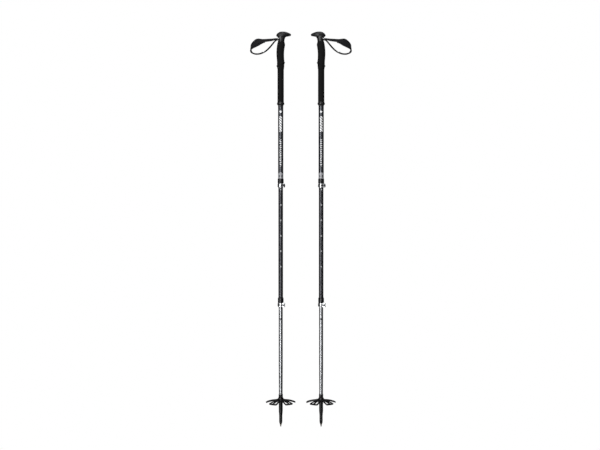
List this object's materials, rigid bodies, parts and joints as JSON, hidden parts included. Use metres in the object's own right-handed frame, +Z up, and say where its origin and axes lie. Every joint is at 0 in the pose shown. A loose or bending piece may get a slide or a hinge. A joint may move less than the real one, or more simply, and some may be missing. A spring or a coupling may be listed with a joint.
{
  "type": "trekking poles",
  "caption": "Pair of telescoping trekking poles with foam grips, wrist straps, lever clamps on aluminium shafts, lobed snow baskets and metal tips.",
  "frame": {"origin": "on the ground, midway between the two tips", "axes": "+Z up along the shafts, +X from the left pole to the right pole, -Y towards the side that the clamp levers wrap"},
  "size_m": [0.3296, 0.093, 1.284],
  "materials": {
    "core_plastic": "moulded, unseen",
    "grip_foam": "closed-cell foam, fine-grained",
    "head_rubber": "satin moulded rubber",
    "strap_webbing": "woven nylon",
    "strap_lining": "knitted padded lining",
    "bright_steel": "ground",
    "dark_shaft": "dark anodised, satin",
    "black_shaft": "black anodised, satin",
    "bare_shaft": "drawn and brushed",
    "clamp_plastic": "moulded",
    "lever_aluminium": "forged and polished",
    "dark_steel": "black oxide",
    "guide_plastic": "moulded",
    "tip_plastic": "moulded",
    "tip_metal": "passivated",
    "carbide": "sintered, rough",
    "basket_plastic": "moulded, flexible"
  },
  "bodies": {
    "left_grip_section": {"left_grip_core": "core_plastic", "left_grip_foam": "grip_foam", "left_grip_head": "head_rubber", "left_grip_extension": "grip_foam", "left_extension_ring": "head_rubber", "left_strap_pin": "bright_steel", "left_strap_wedge": "core_plastic", "left_upper_shaft": "dark_shaft", "left_upper_collar": "clamp_plastic", "left_upper_barrel": "dark_steel"},
    "left_strap": {"left_strap_webbing": "strap_webbing", "left_strap_pad": "strap_lining"},
    "left_upper_lever": {"left_upper_lever": "lever_aluminium"},
    "left_upper_screw": {"left_upper_screw": "dark_steel"},
    "left_middle_section": {"left_middle_shaft": "black_shaft", "left_middle_bush": "guide_plastic", "left_lower_collar": "clamp_plastic", "left_lower_barrel": "dark_steel"},
    "left_lower_lever": {"left_lower_lever": "lever_aluminium"},
    "left_lower_screw": {"left_lower_screw": "dark_steel"},
    "left_lower_section": {"left_lower_shaft": "bare_shaft", "left_lower_bush": "guide_plastic", "left_ferrule": "tip_plastic", "left_tip_sleeve": "tip_metal", "left_carbide_tip": "carbide"},
    "left_basket": {"left_basket": "basket_plastic"},
    "right_grip_section": {"right_grip_core": "core_plastic", "right_grip_foam": "grip_foam", "right_grip_head": "head_rubber", "right_grip_extension": "grip_foam", "right_extension_ring": "head_rubber", "right_strap_pin": "bright_steel", "right_strap_wedge": "core_plastic", "right_upper_shaft": "dark_shaft", "right_upper_collar": "clamp_plastic", "right_upper_barrel": "dark_steel"},
    "right_strap": {"right_strap_webbing": "strap_webbing", "right_strap_pad": "strap_lining"},
    "right_upper_lever": {"right_upper_lever": "lever_aluminium"},
    "right_upper_screw": {"right_upper_screw": "dark_steel"},
    "right_middle_section": {"right_middle_shaft": "black_shaft", "right_middle_bush": "guide_plastic", "right_lower_collar": "clamp_plastic", "right_lower_barrel": "dark_steel"},
    "right_lower_lever": {"right_lower_lever": "lever_aluminium"},
    "right_lower_screw": {"right_lower_screw": "dark_steel"},
    "right_lower_section": {"right_lower_shaft": "bare_shaft", "right_lower_bush": "guide_plastic", "right_ferrule": "tip_plastic", "right_tip_sleeve": "tip_metal", "right_carbide_tip": "carbide"},
    "right_basket": {"right_basket": "basket_plastic"}
  },
  "joints": [
    {"name": "left_strap_swing", "type": "hinge", "parent": "left_grip_section", "child": "left_strap", "pos_m": [-0.07025, 0, 1.2615], "axis": [0, 1, 0], "range_deg": [-20, 17]},
    {"name": "left_middle_slide", "type": "slide", "parent": "left_grip_section", "child": "left_middle_section", "axis": [0, 0, 1], "range_m": [-0.035, 0.35]},
    {"name": "left_lower_slide", "type": "slide", "parent": "left_middle_section", "child": "left_lower_section", "axis": [0, 0, 1], "range_m": [-0.045, 0.28]},
    {"name": "left_upper_lever_flip", "type": "hinge", "parent": "left_grip_section", "child": "left_upper_lever", "pos_m": [-0.05632, -0.00998, 0.785], "axis": [0, 0, 1], "range_deg": [0, 140]},
    {"name": "left_upper_screw_turn", "type": "hinge", "parent": "left_grip_section", "child": "left_upper_screw", "pos_m": [-0.0547, -0.00235, 0.785], "axis": [0.2079, 0.9781, 0], "continuous": true},
    {"name": "left_lower_lever_flip", "type": "hinge", "parent": "left_middle_section", "child": "left_lower_lever", "pos_m": [-0.05445, -0.0078, 0.397], "axis": [0, 0, 1], "range_deg": [0, 140]},
    {"name": "left_lower_screw_turn", "type": "hinge", "parent": "left_middle_section", "child": "left_lower_screw", "pos_m": [-0.05445, 0, 0.397], "axis": [0, 1, 0], "continuous": true},
    {"name": "left_basket_turn", "type": "hinge", "parent": "left_lower_section", "child": "left_basket", "pos_m": [-0.06575, 0, 0.085], "axis": [0, 0, 1], "continuous": true},
    {"name": "right_strap_swing", "type": "hinge", "parent": "right_grip_section", "child": "right_strap", "pos_m": [0.07025, 0, 1.2615], "axis": [0, -1, 0], "range_deg": [-20, 17]},
    {"name": "right_middle_slide", "type": "slide", "parent": "right_grip_section", "child": "right_middle_section", "axis": [0, 0, 1], "range_m": [-0.035, 0.35]},
    {"name": "right_lower_slide", "type": "slide", "parent": "right_middle_section", "child": "right_lower_section", "axis": [0, 0, 1], "range_m": [-0.045, 0.28]},
    {"name": "right_upper_lever_flip", "type": "hinge", "parent": "right_grip_section", "child": "right_upper_lever", "pos_m": [0.07518, -0.00998, 0.785], "axis": [0, 0, 1], "range_deg": [0, 140]},
    {"name": "right_upper_screw_turn", "type": "hinge", "parent": "right_grip_section", "child": "right_upper_screw", "pos_m": [0.0768, -0.00235, 0.785], "axis": [0.2079, 0.9781, 0], "continuous": true},
    {"name": "right_lower_lever_flip", "type": "hinge", "parent": "right_middle_section", "child": "right_lower_lever", "pos_m": [0.07705, -0.0078, 0.397], "axis": [0, 0, 1], "range_deg": [0, 140]},
    {"name": "right_lower_screw_turn", "type": "hinge", "parent": "right_middle_section", "child": "right_lower_screw", "pos_m": [0.07705, 0, 0.397], "axis": [0, 1, 0], "continuous": true},
    {"name": "right_basket_turn", "type": "hinge", "parent": "right_lower_section", "child": "right_basket", "pos_m": [0.06575, 0, 0.085], "axis": [0, 0, 1], "continuous": true},
    {"name": "pole_spacing", "type": "slide", "parent": "left_grip_section", "child": "right_grip_section", "axis": [1, 0, 0], "range_m": [-0.03, 0.3]}
  ]
}
